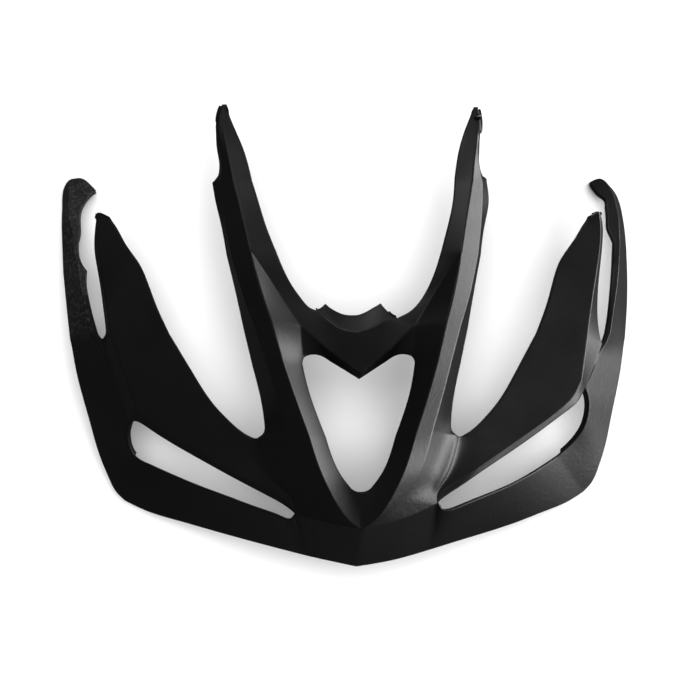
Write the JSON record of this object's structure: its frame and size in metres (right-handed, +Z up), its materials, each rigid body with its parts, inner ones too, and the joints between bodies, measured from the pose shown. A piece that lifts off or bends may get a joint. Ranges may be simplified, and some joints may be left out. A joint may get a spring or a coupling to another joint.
{
  "type": "bicycle helmet visor",
  "caption": "Clip-on front visor of a cycling helmet: an open moulded frame of ribs, vents and wings with springy side arms.",
  "frame": {"origin": "centre of the footprint, on the surface the visor lies on", "axes": "+Z up, -Y to the front point of the brim, +X to the wearer's left side as the picture's right side"},
  "size_m": [0.2016, 0.1567, 0.0487],
  "materials": {
    "moulding": "satin black with a fine moulded grain"
  },
  "bodies": {
    "visor": {"nose": "moulding", "bridge": "moulding", "rib_left": "moulding", "prong_left": "moulding", "collar_left": "moulding", "apron_left": "moulding", "wing_left": "moulding", "brim_left": "moulding", "rail_left": "moulding", "rib_right": "moulding", "prong_right": "moulding", "collar_right": "moulding", "apron_right": "moulding", "wing_right": "moulding", "brim_right": "moulding", "rail_right": "moulding"},
    "arm_left": {"arm_left": "moulding", "hook_left": "moulding"},
    "arm_right": {"arm_right": "moulding", "hook_right": "moulding"}
  },
  "joints": [
    {"name": "arm_flex_left", "type": "hinge", "parent": "visor", "child": "arm_left", "pos_m": [-0.09123, 0, 0.01604], "axis": [0.6182, 0, 0.7861], "range_deg": [-3, 8], "stiffness_Nm_per_rad": 1.6},
    {"name": "arm_flex_right", "type": "hinge", "parent": "visor", "child": "arm_right", "pos_m": [0.09238, 0, 0.01619], "axis": [0.6341, 0, -0.7733], "range_deg": [-3, 8], "stiffness_Nm_per_rad": 1.6}
  ]
}
